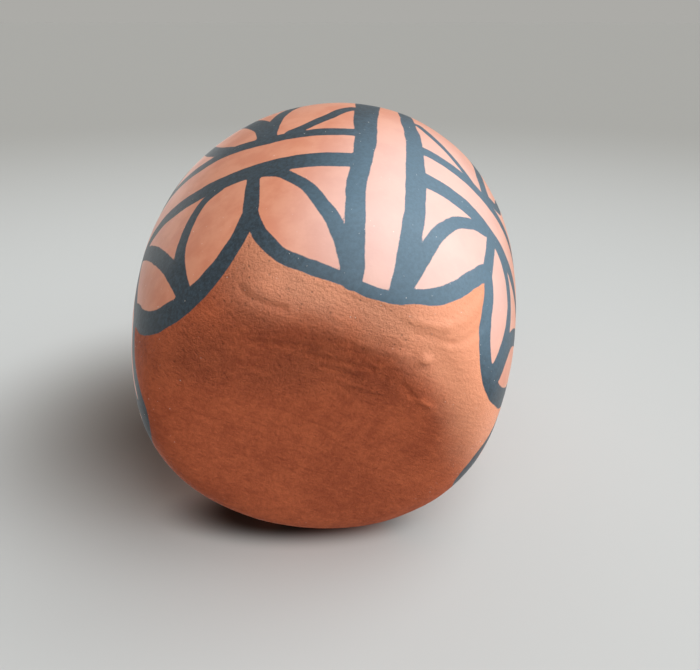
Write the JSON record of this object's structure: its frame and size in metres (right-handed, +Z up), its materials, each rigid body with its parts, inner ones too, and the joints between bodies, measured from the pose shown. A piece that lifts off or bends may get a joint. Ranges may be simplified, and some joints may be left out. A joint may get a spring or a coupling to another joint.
{
  "type": "pueblo pottery jar",
  "caption": "Small round coil-built clay jar with a flat foot, full shoulders and a low rounded lip, slipped orange and painted with black leaf and scallop bands.",
  "frame": {"origin": "under the middle of the belly, on the surface that the jar stands on", "axes": "+Z up through the mouth; +X along the long way of the slightly oval body; the pictured side of the jar faces +Y and the underside"},
  "size_m": [0.0532, 0.0508, 0.05],
  "materials": {
    "bare_clay": "low-fired red clay, stone-smoothed, matt, with fine temper and mica specks",
    "orange_slip": "orange slip burnished with a stone to a soft sheen, with blue-black brush lines"
  },
  "bodies": {
    "root": {"moulded_base": "bare_clay", "wall_coil_1": "orange_slip", "wall_coil_2": "orange_slip", "wall_coil_3": "orange_slip", "wall_coil_4": "orange_slip", "wall_coil_5": "orange_slip", "wall_coil_6": "orange_slip", "wall_coil_7": "orange_slip", "rim_coil": "orange_slip"}
  },
  "joints": []
}
